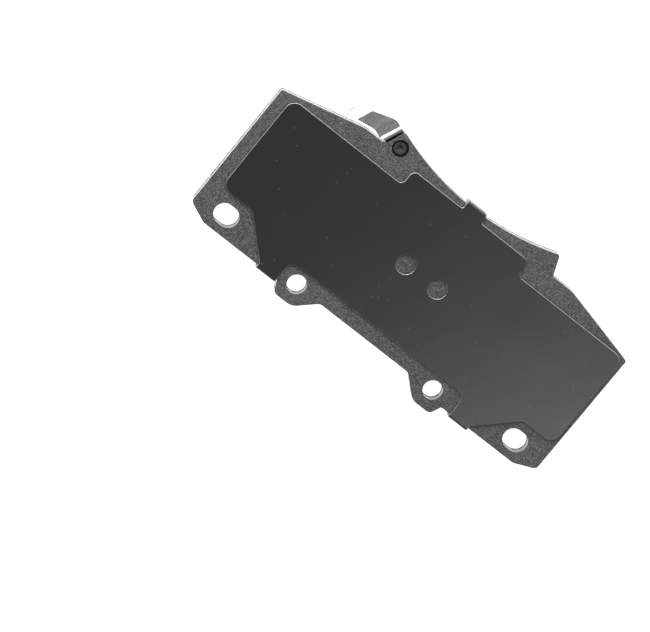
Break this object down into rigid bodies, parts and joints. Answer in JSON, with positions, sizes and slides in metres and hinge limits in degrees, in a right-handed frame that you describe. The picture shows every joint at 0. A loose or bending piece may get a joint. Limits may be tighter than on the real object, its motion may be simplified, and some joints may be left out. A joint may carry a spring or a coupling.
{
  "type": "brake pad",
  "caption": "Disc brake pad for a fixed caliper: coated steel back plate, bonded friction block, clip-on damping shim and riveted wear indicator.",
  "frame": {"origin": "on the friction face, half-way along the pad and at the middle of the rubbed track", "axes": "+X along the length, the wear indicator at -X; +Y towards the wheel hub, the retaining pins at -Y; +Z from the friction face to the shim"},
  "size_m": [0.1512, 0.0717, 0.0173],
  "materials": {
    "plate_coating": "grainy dark grey powder coat",
    "bonding_layer": "dense moulded composite, dark",
    "friction_material": "pressed friction composite with fine flecks",
    "shim_rubber": "satin black rubber coat",
    "shim_steel": "cut sheet edge",
    "spring_steel": "bright zinc-plated strip",
    "rivet_steel": "dark oxidised steel"
  },
  "bodies": {
    "root": {"backing_plate": "plate_coating", "underlayer": "bonding_layer", "friction_block": "friction_material", "shim_inner_rubber": "shim_rubber", "shim_core": "shim_steel", "shim_outer_rubber": "shim_rubber", "wear_indicator": "spring_steel", "indicator_rivet": "rivet_steel"}
  },
  "joints": []
}
